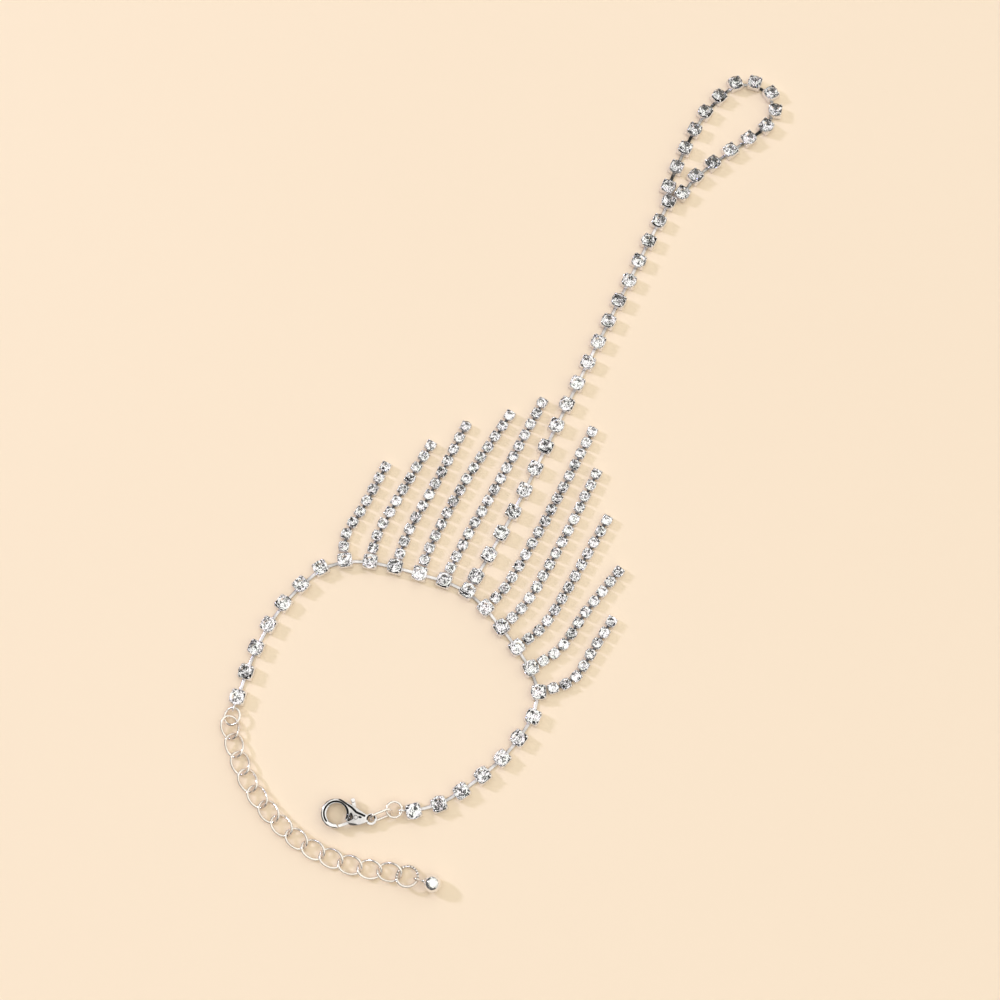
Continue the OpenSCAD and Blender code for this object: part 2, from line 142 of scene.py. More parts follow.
# Ball: its lift off the surface, the depth of its top that shows its middle, the reach of its eye,
# and its neck as (distance, radius), first from the loop and then from the ball's skin
BALL_R = 1.64
BALL_LIFT = 0.005
BALL_TOP = 0.2
BALL_STEPS = 24
BALL_SIDES = 48
BALL_LOOP_R = 0.68
EYE_REACH = 0.9
NECK_SIDES = 24
NECK_START = [(0, 0), (0.02, 0.22), (0.3, 0.28)]
NECK_END = [(0, 0.3), (0.3, 0.5), (0.31, 0)]

# Clasp: where it lies, and in its own plan the claw's section and the lines cast into its upper side, whose
# bottoms take painted shade, the claw's one as (degrees, radius) from its nose round to the throat
CLASP_AT = Vector((-34.345, -71.28, 1.15))
CLASP_TURN = math.radians(-9)
CLAW_MIDDLE = np.array((-0.2, 0))
CLAW_R = 2.34
CLAW_HALF = 0.5
CLAW_ROUND = 0.3
CLAW_TO_HOUSING = (0.5, 1.5)
CLAW_LINE = [(225, 2.32), (180, 2.37), (135, 2.3), (90, 2.18), (45, 2.1), (-18, 2.1)]
CLAW_LINE_STEP = 4.0
RIDGE_LINE = [(0.1, 2.62), (0.5, 2.5), (1.33, 2.12), (2.68, 1.47), (3.67, 0.76), (4.35, 0.6), (5.25, 0.36)]
THROAT_LINE = [(2.4, -0.9), (3.1, -0.4), (2.7, 0.35), (2.4, -0.9)]
DASH_LINE = [(4.32, 0.02), (4.58, 0)]
EYE_MIDDLE = np.array((6.55, 0))
EYE_LINE_R = 0.68
EYE_LINE_TURNS = (30, 200)
EYE_LINE_STEP = 10.0
# The lines' section: depth and softness of the groove, then half width and edge of the painted shade at its
# bottom, and how quickly the lines end where the skin turns down
LINE_DEPTH = 0.2
LINE_BLUR = 0.16
LINE_HALF = 0.16
LINE_EDGE = 0.06
LINE_FACING = 2.5
# Near black of the painted shade in the clasp's lines and the end ring's notches
PAINTED_SHADE_BLACK = (0.012, 0.012, 0.014, 1)
# Skin of each cast piece, as its grain and its rounds of smoothing
HOUSING_SKIN = (0.055, 24)
GATE_SKIN = (0.045, 12)
RIVET_SKIN = (0.04, 2)
SMOOTHING = 0.5

# Silver: lumps a metre of its clouds, how clouds and dents change its polish, and its dents' depth in
# metres; then the dents a metre, and their strength, of sheet, wire, the cast clasp and the ball
CLOUD_GRAIN = 260
POLISH_LEAST = 0.55
POLISH_CLOUD = 0.9
POLISH_DENT = 0.05
DENT_DEPTH = 0.00004
SHEET_DENTS = {"grain": 2400, "dent": 0.12}
WIRE_DENTS = {"grain": 1500, "dent": 0.1}
CAST_DENTS = {"grain": 900, "dent": 0.08}
BALL_DENTS = {"grain": 1500, "dent": 0.9}

# Stones' glass with the tints that its facets take in turn, partly the stones' own faint tint and partly
# painted fire of dispersion, and the foil behind it, whose facets are painted bright and dark as
# reflections: its shards a metre, what facets and shards add, and the level and sharpness that part its
# bright and dark ones
GLASS_IOR = 1.6
GLASS_SPREAD = 4.0
GLASS_TINTS = (
    (0.3, (1.0, 0.9, 0.96, 1)), (0.45, (0.93, 0.93, 1.0, 1)),
    (0.55, (1, 1, 1, 1)), (0.7, (0.93, 1.0, 0.95, 1)),
)
FACET_DRIFT = 170.0
FOIL_SPREAD = 11.0
FOIL_SHARDS = 3400.0
FOIL_BY_FACET = 0.8
FOIL_BY_SHARD = 0.7
FOIL_CUT = 0.245
FOIL_EDGE = 40
FOIL_DARK_REFLECTION = (0.02, 0.02, 0.025, 1)
FOIL_BRIGHT_REFLECTION = (0.98, 0.97, 0.98, 1)
FOIL_CLOUD = 700
FOIL_POLISH = (0.02, 0.05)

# Card: half its width in millimetres, its tones, lumps a metre of its clouds and fibres, how the
# fibres stand up, and the distance and width, in metres, over which it runs out into the wall's tone
FLOOR_HALF = 900
CARD_DULL = (0.905, 0.735, 0.56, 1)
CARD_BRIGHT = (0.925, 0.76, 0.585, 1)
CARD_CLOUD = 6
CARD_FIBRE = 2600
FIBRE_BUMP = 0.05
FIBRE_HEIGHT = 0.0001
CARD_ROUGH = 0.8
CARD_GLOSS = 0.1
FADE_FROM = 0.22
FADE_WIDTH = 0.4
WALL = (0.93, 0.78, 0.61, 1)

# Camera at the photograph's angle
IMAGE_PX = 1000
FOCAL_PX = 1500
SENSOR = 36.0
CAMERA_FAR = 0.3
CAMERA_NEAREST = 0.01
CAMERA_ELEVATION = math.radians(74.2)
AIM = Vector((-3.67, -9.64, 0)) * MM

# Key light: where it stands, its distance and width in metres, its power in watts, and its tone
KEY_AZIMUTH = math.radians(155)
KEY_ELEVATION = math.radians(30)
KEY_FAR = 2.4
KEY_SIZE = 0.22
KEY_POWER = 24.0
KEY_TONE = (0.66, 0.69, 1.0)

# Studio: how small its panels are, how much of it is dark, how much less of it upwards, to the right
# and at the back, how sharp the panels' edges are, and the levels of the dark and the white ones
PANEL_SCALE = 6.5
PANEL_DETAIL = 1.5
PANEL_CUT = 0.72
MORE_UP = 0.46
MORE_RIGHT = 0.2
MORE_BACK = 0.1
PANEL_EDGE = 26
DARK_LEVEL = 0.05
WHITE_LEVEL = 0.8
WHITER_UP = 0.15
PANEL_WHITE = (1.0, 1.0, 0.93, 1)
STUDIO_STRENGTH = 1.3


class Value:
    """A node's output. Arithmetic on it adds Math nodes to its tree."""

    def __init__(self, nodes, socket):
        self.nodes = nodes
        self.socket = socket

    def maths(self, operation, a, b):
        return self.nodes.add("ShaderNodeMath", {"operation": operation}, {0: a, 1: b})

    def __add__(self, other):
        return self.maths("ADD", self, other)

    def __sub__(self, other):
        return self.maths("SUBTRACT", self, other)

    def __rsub__(self, other):
        return self.maths("SUBTRACT", other, self)

    def __mul__(self, other):
        return self.maths("MULTIPLY", self, other)

    __radd__ = __add__
    __rmul__ = __mul__

    def ramp(self, slope, start):
        """The value times slope, plus start, held between 0 and 1."""
        return self.nodes.add(
            "ShaderNodeMath", {"operation": "MULTIPLY_ADD", "use_clamp": True},
            {0: self, 1: slope, 2: start},
        )


class Nodes:
    """Adds nodes to one tree, with their settings first and then the values or links of their sockets."""

    def __init__(self, tree):
        self.tree = tree

    def add(self, kind, settings=None, inputs=None, out=0):
        node = self.tree.nodes.new(kind)
        for name, value in (settings or {}).items():
            if name == "stops":
                self.set_stops(node.color_ramp, value)
            else:
                setattr(node, name, value)
        for key, value in (inputs or {}).items():
            socket = self.find(node.inputs, key)
            if isinstance(value, Value):
                self.tree.links.new(value.socket, socket)
            else:
                socket.default_value = value
        return Value(self, self.find(node.outputs, out)) if len(node.outputs) else None

    @staticmethod
    def find(sockets, key):
        """A socket by its place or name: of several with that name, the one that is in use."""
        if isinstance(key, int):
            return sockets[key]
        return next(socket for socket in sockets if socket.name == key and socket.enabled)

    @staticmethod
    def set_stops(ramp, stops):
        while len(ramp.elements) < len(stops):
            ramp.elements.new(0.5)
        for element, (place, colour) in zip(ramp.elements, stops):
            element.position = place
            element.color = colour

    def mix(self, factor, a, b):
        return self.add(
            "ShaderNodeMix", {"data_type": "RGBA"}, {"Factor": factor, "A": a, "B": b}, out="Result"
        )

    def scaled(self, vector, share):
        return self.add("ShaderNodeVectorMath", {"operation": "SCALE"}, {0: vector, "Scale": share})

    def total(self, a, b):
        return self.add("ShaderNodeVectorMath", {"operation": "ADD"}, {0: a, 1: b})

    def axis(self, vector, letter):
        return self.add("ShaderNodeSeparateXYZ", None, {"Vector": vector}, out=letter)


def new_material(name, build):
    """A material whose surface is what build returns; build gets the material's Nodes."""
    made = bpy.data.materials.new(name)
    made.use_nodes = True
    made.node_tree.nodes.clear()
    nodes = Nodes(made.node_tree)
    nodes.add("ShaderNodeOutputMaterial", None, {"Surface": build(nodes)})
    return made


def noise(nodes, scale, detail=2.0, vector=None):
    """Noise of that many lumps a metre over the object, as a value from 0 to 1."""
    place = vector or nodes.add("ShaderNodeTexCoord", out="Object")
    return nodes.add("ShaderNodeTexNoise", None, {"Vector": place, "Scale": scale, "Detail": detail})


def silver(dull, bright, rough, grain, dent, metallic=1.0, contrast=1.0, lined=False):
    """Plated metal: dull and bright are its two tones, grain the lumps a metre of its fine dents.

    A lined one is painted nearly black, as shade in its grooves, as far as its piece's shade says.
    """

    def build(nodes):
        cloud = noise(nodes, CLOUD_GRAIN, detail=3)
        fine = noise(nodes, grain)
        tone = nodes.mix((cloud - 0.5) * contrast + 0.5, dull, bright)
        if lined:
            shade = nodes.add("ShaderNodeAttribute", {"attribute_name": SHADE}, out="Fac")
            tone = nodes.mix(shade, tone, PAINTED_SHADE_BLACK)
        polish = rough * (POLISH_LEAST + POLISH_CLOUD * cloud) + POLISH_DENT * fine
        bump = nodes.add("ShaderNodeBump", None, {"Strength": dent, "Distance": DENT_DEPTH, "Height": fine})
        return nodes.add(
            "ShaderNodeBsdfPrincipled", None,
            {"Base Color": tone, "Metallic": metallic, "Roughness": polish, "Normal": bump},
        )

    return build


def by_facet(nodes, spread):
    """A value from 0 to 1 that is even over each facet of a stone and changes from one to the next."""
    facing = nodes.add("ShaderNodeNewGeometry", out="True Normal")
    place = nodes.add("ShaderNodeTexCoord", out="Object")
    key = nodes.total(nodes.scaled(facing, spread), nodes.scaled(place, FACET_DRIFT))
    return noise(nodes, 1.0, detail=1.0, vector=key)


def crystal(nodes):
    """Clear cut glass, each facet of which has its own faint tint, partly the stone's own tint and partly
    painted fire.
    """
    facet = by_facet(nodes, GLASS_SPREAD)
    tone = nodes.add("ShaderNodeValToRGB", {"stops": GLASS_TINTS}, {0: facet}, out="Color")
    return nodes.add(
        "ShaderNodeBsdfPrincipled", None,
        {"Base Color": tone, "Roughness": 0.0, "Transmission Weight": 1.0, "IOR": GLASS_IOR},
    )


def foil(nodes):
    """Mirror foil on a stone's underside: some of its facets are painted bright and some dark, as painted
    reflections.
    """
    place = nodes.add("ShaderNodeTexCoord", out="Object")
    shard = nodes.add("ShaderNodeTexVoronoi", None, {"Vector": place, "Scale": FOIL_SHARDS}, out="Color")
    level = FOIL_BY_FACET * by_facet(nodes, FOIL_SPREAD) + FOIL_BY_SHARD * (shard - 0.5) - FOIL_CUT
    tone = nodes.mix(level.ramp(FOIL_EDGE, 0.5), FOIL_DARK_REFLECTION, FOIL_BRIGHT_REFLECTION)
    least, cloudy = FOIL_POLISH
    return nodes.add(
        "ShaderNodeBsdfPrincipled", None,
        {"Base Color": tone, "Metallic": 1.0, "Roughness": least + cloudy * noise(nodes, FOIL_CLOUD)},
    )


def surface(nodes):
    """Pale peach card with a barely visible grain, which runs out into the wall's even tone far away."""
    tone = nodes.mix(noise(nodes, CARD_CLOUD), CARD_DULL, CARD_BRIGHT)
    fibre = noise(nodes, CARD_FIBRE, detail=3)
    bump = nodes.add(
        "ShaderNodeBump", None, {"Strength": FIBRE_BUMP, "Distance": FIBRE_HEIGHT, "Height": fibre}
    )
    card = nodes.add("ShaderNodeBsdfPrincipled", None, {
        "Base Color": tone, "Roughness": CARD_ROUGH, "Specular IOR Level": CARD_GLOSS, "Normal": bump,
    })
    wall = nodes.add("ShaderNodeEmission", None, {"Color": WALL, "Strength": 1.0})
    place = nodes.add("ShaderNodeTexCoord", out="Object")
    far = nodes.add("ShaderNodeVectorMath", {"operation": "LENGTH"}, {0: place}, out="Value")
    faded = far.ramp(1 / FADE_WIDTH, -FADE_FROM / FADE_WIDTH)
    return nodes.add("ShaderNodeMixShader", None, {0: faded, 1: card, 2: wall})


def studio(nodes):
    """White panels all round with dark gaps between them, more of which are low down and on the left."""
    way = nodes.add("ShaderNodeTexCoord", out="Generated")
    height = nodes.axis(way, "Z")
    right = nodes.axis(way, "X")
    back = nodes.axis(way, "Y")
    patches = nodes.add(
        "ShaderNodeTexNoise", None, {"Vector": way, "Scale": PANEL_SCALE, "Detail": PANEL_DETAIL}
    )
    white = patches - PANEL_CUT + MORE_UP * height + MORE_RIGHT * right + MORE_BACK * back
    level = DARK_LEVEL + white.ramp(PANEL_EDGE, 0.5) * (WHITE_LEVEL + WHITER_UP * height)
    tone = nodes.mix(level, (0, 0, 0, 1), PANEL_WHITE)
    panels = nodes.add("ShaderNodeBackground", None, {"Color": tone, "Strength": STUDIO_STRENGTH})
    wall = nodes.add("ShaderNodeBackground", None, {"Color": WALL, "Strength": 1.0})
    seen = nodes.add("ShaderNodeLightPath", out="Is Camera Ray")
    return nodes.add("ShaderNodeMixShader", None, {0: seen, 1: panels, 2: wall})


def in_scene(name, data):
    """A new object for a mesh, a light or a camera."""
    made = bpy.data.objects.new(name, data)
    bpy.context.scene.collection.objects.link(made)
    return made


def new_object(name, points, faces, smooth=True):
    """A mesh object from points in millimetres."""
    mesh = bpy.data.meshes.new(name)
    mesh.from_pydata([tuple(float(v) * MM for v in p) for p in points], [], faces)
    mesh.validate()
    for face in mesh.polygons:
        face.use_smooth = smooth
    return in_scene(name, mesh)


def plain_mesh(host):
    """The mesh that a host's modifiers make of it; the host is deleted."""
    bpy.context.view_layer.update()
    graph = bpy.context.evaluated_depsgraph_get()
    mesh = bpy.data.meshes.new_from_object(host.evaluated_get(graph))
    bpy.data.objects.remove(host)
    return mesh


def rows_of(mesh, kind="co"):
    """A mesh's points, or with "normal" the ways they face, as rows."""
    values = np.empty(3 * len(mesh.vertices))
    mesh.vertices.foreach_get(kind, values)
    return values.reshape(-1, 3)


def join(name, parts):
    """One object from several; each keeps its materials."""
    for part in parts:
        part.select_set(True)
    bpy.context.view_layer.objects.active = parts[0]
    with bpy.context.temp_override(
        active_object=parts[0], object=parts[0], selected_objects=parts, selected_editable_objects=parts
    ):
        bpy.ops.object.join()
    parts[0].name = name
    parts[0].data.name = name
    parts[0].select_set(False)
    return parts[0]


def put(piece, middle, turn):
    """Moves a piece's mesh to its place, so that its object stays at the origin."""
    piece.data.transform(Matrix.Translation(middle) @ turn.to_4x4())
    return piece


def done(piece, body, *nodes, slot="metal"):
    """Says what a finished piece stands for and rides on; its slot is not used."""
    for uv in list(piece.data.uv_layers):
        piece.data.uv_layers.remove(uv)
    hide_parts(*nodes)
    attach(piece, body)


class Shell:
    """Collects the points and faces of a mesh that is made of rings of points."""

    def __init__(self):
        self.points = []
        self.faces = []

    def ring(self, points):
        first = len(self.points)
        self.points.extend(points)
        return list(range(first, len(self.points)))

    def band(self, low, high):
        count = len(low)
        for i in range(count):
            j = (i + 1) % count
            self.faces.append((low[i], low[j], high[j], high[i]))

    def fan(self, ring, point, up=True):
        tip = self.ring([point])[0]
        count = len(ring)
        for i in range(count):
            j = (i + 1) % count
            self.faces.append((ring[i], ring[j], tip) if up else (ring[j], ring[i], tip))

    def tube(self, rings, start, end):
        """Closed skin over the rings, in order, with a point at each end."""
        made = [self.ring(r) for r in rings]
        for low, high in zip(made, made[1:]):
            self.band(low, high)
        self.fan(made[0], start, up=False)
        self.fan(made[-1], end)

    def as_object(self, name):
        return new_object(name, self.points, self.faces)


def rounded_square(turn, half, power):
    """Distance out to a square with rounded corners, whose sides lie half out from its middle."""
    across = abs(math.cos(turn)) ** power + abs(math.sin(turn)) ** power
    return half / across ** (1 / power)


def add_cup(shell, sizes):
    """Square cup of sheet metal, with walls that are scalloped down between its corners."""
    turns = [math.tau * i / sizes["steps"] for i in range(sizes["steps"])]
    thick = sizes["wall"]

    def wall(inset, share, low):
        """Ring that is inset from the outline, at that share of the way from low to the rim."""
        ring = []
        for turn in turns:
            corner = abs(math.sin(2 * turn)) ** SCALLOP
            rim = sizes["low"] + (sizes["high"] - sizes["low"]) * corner
            far = rounded_square(turn, sizes["half"] - inset, sizes["square"])
            ring.append((far * math.cos(turn), far * math.sin(turn), low + share * (rim - low)))
        return ring

    rings = [wall(inset, share, sizes["foot"]) for inset, share in OUTER_WALL]
    rings += [wall(thick + inset, share, sizes["foot"]) for inset, share in RIM_TOP]
    rings += [wall(thick + inset, share, sizes["floor"]) for inset, share in INNER_WALL]
    shell.tube(rings, (0, 0, sizes["foot"]), (0, 0, sizes["floor"]))


def add_prong(shell, sizes, turn):
    """Prong that stands at a corner of the cup and is folded in over the stone."""
    path = sizes["prong"]
    sides = sizes["prong_sides"]
    out = np.array((math.cos(turn), math.sin(turn), 0))
    side = np.array((-math.sin(turn), math.cos(turn), 0))
    up = np.array((0, 0, 1))
    rings = []
    for i, (far, z, wide, thick) in enumerate(path):
        before = path[max(i - 1, 0)]
        after = path[min(i + 1, len(path) - 1)]
        run = np.array((after[0] - before[0], after[1] - before[1]))
        run /= np.linalg.norm(run)
        across = out * run[1] - up * run[0]
        middle = out * far + up * z
        rings.append([
            middle
            + side * wide * math.cos(math.tau * k / sides)
            - across * thick * math.sin(math.tau * k / sides)
            for k in range(sides)
        ])
    first = path[0]
    far, z, wide, _ = path[-1]
    last = np.array(path[-1][:2]) - np.array(path[-2][:2])
    last /= np.linalg.norm(last)
    blunt = wide * PRONG_BLUNT
    nose = out * (far + last[0] * blunt) + up * (z + last[1] * blunt - PRONG_DROOP)
    shell.tube(rings, out * first[0] + up * first[1], nose)


def one_setting(name, sizes):
    """A cup with its four prongs, and the faces that look at its stone marked as its hidden side, for
    painted shade.
    """
    shell = Shell()
    add_cup(shell, sizes)
    for corner in range(4):
        add_prong(shell, sizes, math.radians(45 + 90 * corner))
    made = shell.as_object(name)
    mark = made.data.attributes.new(HIDDEN_SIDE, "BOOLEAN", "FACE")
    for face in made.data.polygons:
        out = Vector((face.center.x, face.center.y, 0)).normalized()
        on_floor = face.normal.z > FACES_UP and face.center.z < (sizes["floor"] + FLOOR_REACH) * MM
        mark.data[face.index].value = face.normal.dot(out) < -FACES_IN or on_floor
    return made


def one_strap(name, size):
    """Strip with a crowned section, one millimetre long, to be stretched along X."""
    width, thick, height = size
    section = []
    for k in range(STRAP_SIDES):
        turn = math.tau * (k + 0.5) / STRAP_SIDES
        across = math.copysign(abs(math.cos(turn)) ** STRAP_CROWN, math.cos(turn))
        section.append((width / 2 * across, thick / 2 * math.sin(turn)))
    shell = Shell()
    rings = [[(x, y * waist, height + z) for y, z in section] for x, waist in STRAP_WAIST]
    shell.tube(rings, (STRAP_WAIST[0][0], 0, height), (STRAP_WAIST[-1][0], 0, height))
    return shell.as_object(name)


def one_stone(name, sizes):
    """Round brilliant: table, stars, kites and girdle facets above, kites and girdle facets below."""
    r = sizes["girdle"]
    table = sizes["table"]
    high = sizes["girdle_z"] + GIRDLE_BAND / 2
    low = sizes["girdle_z"] - GIRDLE_BAND / 2
    half = math.pi / FOLD
    crown_r = 0.5 * (r + table) * CROWN_KITES
    under_r = UNDER_KITES * r

    def on_plane(far, inner, inner_z, outer, outer_z):
        """Height of a kite's side corner, so that the kite is flat."""
        return inner_z + (far * math.cos(half) - inner) / (outer - inner) * (outer_z - inner_z)

    crown_z = on_plane(crown_r, table, sizes["table_z"], r, high)
    under_z = on_plane(under_r, 0, sizes["culet_z"], r, low)
    points = []

    def ring(far, z, first, count):
        start = len(points)
        for i in range(count):
            turn = first + math.tau * i / count
            points.append((far * math.cos(turn), far * math.sin(turn), z))
        return lambda i: start + i % count

    tops = ring(table, sizes["table_z"], 0, FOLD)
    stars = ring(crown_r, crown_z, half, FOLD)
    upper = ring(r, high, 0, 2 * FOLD)
    lower = ring(r, low, 0, 2 * FOLD)
    unders = ring(under_r, under_z, half, FOLD)
    culet = len(points)
    points.append((0, 0, sizes["culet_z"]))
    crown = [tuple(tops(k) for k in range(FOLD))]
    pavilion = []
    for k in range(FOLD):
        crown.append((tops(k), stars(k), tops(k + 1)))
        crown.append((tops(k), stars(k - 1), upper(2 * k), stars(k)))
        crown.append((stars(k), upper(2 * k), upper(2 * k + 1)))
        crown.append((stars(k), upper(2 * k + 1), upper(2 * k + 2)))
        pavilion.append((culet, unders(k), lower(2 * k), unders(k - 1)))
        pavilion.append((unders(k), lower(2 * k + 1), lower(2 * k)))
        pavilion.append((unders(k), lower(2 * k + 2), lower(2 * k + 1)))
    for i in range(2 * FOLD):
        crown.append((upper(i), lower(i), lower(i + 1), upper(i + 1)))
    made = new_object(name, points, crown + pavilion, smooth=False)
    mark = made.data.attributes.new(HIDDEN_SIDE, "BOOLEAN", "FACE")
    mark.data.foreach_set("value", [False] * len(crown) + [True] * len(pavilion))
    return made


def lathe(name, profile, sides, finish):
    """Surface turned about X from (x, radius) pairs, whose first and last are on the axis."""
    shell = Shell()
    turns = [math.tau * k / sides for k in range(sides)]
    rings = [[(x, r * math.cos(turn), r * math.sin(turn)) for turn in turns] for x, r in profile[1:-1]]
    shell.tube(rings, (profile[0][0], 0, 0), (profile[-1][0], 0, 0))
    made = shell.as_object(name)
    made.data.materials.append(finish)
    return made


def geometry_tree(name, build, inputs):
    """A Geometry Nodes tree with a named input of each given kind; build says what it makes."""
    tree = bpy.data.node_groups.new(name, "GeometryNodeTree")
    for label, kind in inputs.items():
        tree.interface.new_socket(label, in_out="INPUT", socket_type="NodeSocket" + kind)
    tree.interface.new_socket("Geometry", in_out="OUTPUT", socket_type="NodeSocketGeometry")
    nodes = Nodes(tree)
    nodes.add("NodeGroupOutput", None, {"Geometry": build(nodes)})
    return tree


def given(nodes, name):
    """The tree's input of that name."""
    return nodes.add("NodeGroupInput", out=name)


def stored(nodes, name, kind):
    """What the mesh carries under that name."""
    return nodes.add(
        "GeometryNodeInputNamedAttribute", {"data_type": kind}, {"Name": name}, out="Attribute"
    )


def stringing(nodes):
    """Puts one piece on every seat, turned as the seat says, stretched by its span and a little tilted."""
    wobble = nodes.add(
        "FunctionNodeRandomValue", {"data_type": "FLOAT_VECTOR"},
        {"Min": (-1, -1, 0), "Max": (1, 1, 0), "Seed": given(nodes, "Seed")}, out="Value",
    )
    tilted = nodes.scaled(wobble, given(nodes, "Tilt"))
    piece = nodes.add("GeometryNodeObjectInfo", None, {"Object": given(nodes, "Piece")}, out="Geometry")
    laid = nodes.add("GeometryNodeInstanceOnPoints", None, {
        "Points": given(nodes, "Geometry"),
        "Instance": piece,
        "Rotation": nodes.total(stored(nodes, TURN, "FLOAT_VECTOR"), tilted),
        "Scale": stored(nodes, STRETCH, "FLOAT_VECTOR"),
    }, out="Instances")
    real = nodes.add("GeometryNodeRealizeInstances", None, {"Geometry": laid})
    front = nodes.add(
        "GeometryNodeSetMaterial", None, {"Geometry": real, "Material": given(nodes, "Finish")}
    )
    hidden = stored(nodes, HIDDEN_SIDE, "BOOLEAN")
    return nodes.add(
        "GeometryNodeSetMaterial", None,
        {"Geometry": front, "Selection": hidden, "Material": given(nodes, "Back")},
    )


def bent_wire(nodes):
    """A closed loop of round wire: an oval, or with Straight sides a stadium, and bent by its Twist."""
    turn = nodes.add(
        "GeometryNodeCurvePrimitiveCircle", None,
        {"Resolution": given(nodes, "Steps"), "Radius": 1.0}, out="Curve",
    )
    place = nodes.add("GeometryNodeInputPosition")
    x = nodes.axis(place, "X")
    side = nodes.add("ShaderNodeMath", {"operation": "SIGN"}, {0: x})
    along = x * given(nodes, "Half length") + side * given(nodes, "Straight")
    across = nodes.axis(place, "Y") * given(nodes, "Half width")
    rise = along * across * given(nodes, "Twist")
    bent = nodes.add("ShaderNodeCombineXYZ", None, {"X": along, "Y": across, "Z": rise})
    moved = nodes.add("GeometryNodeSetPosition", None, {"Geometry": turn, "Position": bent})
    section = nodes.add(
        "GeometryNodeCurvePrimitiveCircle", None,
        {"Resolution": WIRE_SIDES, "Radius": given(nodes, "Wire")}, out="Curve",
    )
    skin = nodes.add(
        "GeometryNodeCurveToMesh", None, {"Curve": moved, "Profile Curve": section}, out="Mesh"
    )
    smooth = nodes.add("GeometryNodeSetShadeSmooth", None, {0: skin})
    real = nodes.add("GeometryNodeRealizeInstances", None, {"Geometry": smooth})
    return nodes.add(
        "GeometryNodeSetMaterial", None, {"Geometry": real, "Material": given(nodes, "Finish")}
    )


def run_tree(host, tree, values):
    """The plain mesh object that the tree makes of the host; the host is deleted."""
    name = host.name
    modifier = host.modifiers.new(tree.name, "NODES")
    modifier.node_group = tree
    for item in tree.interface.items_tree:
        if item.in_out == "INPUT" and item.name in values:
            modifier[item.identifier] = values[item.name]
    mesh = plain_mesh(host)
    mesh.name = name
    return in_scene(name, mesh)


def islands(node):
    """The separate solids of a CAD node, each as its corner points in metres, in the node's own order."""
    whole = bmesh.new()
    whole.from_mesh(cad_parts[node].data)
    bmesh.ops.remove_doubles(whole, verts=whole.verts, dist=SAME_POINT)
    whole.verts.ensure_lookup_table()
    seen = set()
    found = []
    for first in whole.verts:
        if first.index in seen:
            continue
        seen.add(first.index)
        queue = [first]
        members = []
        while queue:
            vert = queue.pop()
            members.append(vert.co.copy())
            for edge in vert.link_edges:
                other = edge.other_vert(vert)
                if other.index not in seen:
                    seen.add(other.index)
                    queue.append(other)
        found.append(np.array(members))
    whole.free()
    return found


def seats_of(node, top=None):
    """Places of a string's cups on the surface: the middles of its solids, or of their points above top."""
    places = []
    for solid in islands(node):
        kept = solid if top is None else solid[solid[:, 2] > top * MM]
        places.append((*kept[:, :2].mean(axis=0), 0.0))
    return np.array(places)


def turns_along(places):
    """Heading of a string at each of its places."""
    ahead = np.vstack((places[1:], places[-1:]))
    behind = np.vstack((places[:1], places[:-1]))
    return np.arctan2(ahead[:, 1] - behind[:, 1], ahead[:, 0] - behind[:, 0])


def lie_of(node):
    """Middle of a loop of wire, and the turn that lays X along it, Y across it and Z out of its plane."""
    points = np.vstack(islands(node))
    middle = points.mean(axis=0)
    axes = np.linalg.svd(points - middle, full_matrices=False)[2]
    if axes[2][2] < 0:
        axes[2] = -axes[2]
    axes[1] = np.cross(axes[2], axes[0])
    return Vector(middle), Matrix(axes.T.tolist())


def string_piece(name, piece, places, turns, finish, tilt, seed, back=None, spans=None):
    """One mesh with a copy of the piece at every place."""
    host = new_object(name, [], [])
    host.data.from_pydata([tuple(p) for p in places], [], [])
    turn = host.data.attributes.new(TURN, "FLOAT_VECTOR", "POINT")
    turn.data.foreach_set("vector", [v for t in turns for v in (0.0, 0.0, float(t))])
    stretch = host.data.attributes.new(STRETCH, "FLOAT_VECTOR", "POINT")
    lengths = spans if spans is not None else [1.0] * len(places)
    stretch.data.foreach_set("vector", [v for s in lengths for v in (float(s), 1.0, 1.0)])
    return run_tree(host, STRINGING, {
        "Piece": piece, "Tilt": tilt, "Seed": seed, "Finish": finish, "Back": back or finish,
    })


def straps_between(name, piece, places, cup_half, finish, seed=0):
    """Straps from each cup to the next, each rolled a little its own way."""
    a = places[:-1]
    b = places[1:]
    run = b - a
    turns = np.arctan2(run[:, 1], run[:, 0])
    spans = (np.linalg.norm(run, axis=1) - 2 * (cup_half - STRAP_REACH) * MM) / MM
    return string_piece(name, piece, (a + b) / 2, turns, finish, STRAP_TILT, seed, spans=spans)


def cups_at(name, piece, spots, turns, seed):
    """A string's cups, with painted shade on the faces inside them."""
    return string_piece(name, piece, spots, turns, SETTING_SILVER, SETTING_TILT, seed, back=PAINTED_SHADE_SILVER)


def stones_at(name, piece, spots, turns, seed):
    """A string's stones, with foil on their undersides."""
    return string_piece(name, piece, spots, turns, CRYSTAL, STONE_TILT, seed, back=FOIL)


def wire_loop(name, half_length, half_width, wire, finish, straight=0.0, twist=0.0, steps=WIRE_STEPS):
    """A closed loop of wire at the origin, flat or twisted."""
    host = new_object(name, [(0, 0, 0)], [])
    return run_tree(host, WIRE, {
        "Half length": half_length * MM, "Half width": half_width * MM, "Straight": straight * MM,
        "Twist": twist / MM, "Wire": wire * MM, "Steps": steps, "Finish": finish,
    })


def upright_loop(name, radius, middle, heading, finish):
    """A small round loop of wire that stands on edge along its heading."""
    turn = Matrix.Rotation(heading, 3, "Z") @ Matrix.Rotation(math.pi / 2, 3, "X")
    return put(wire_loop(name, radius, radius, LOOP_WIRE, finish), middle, turn)


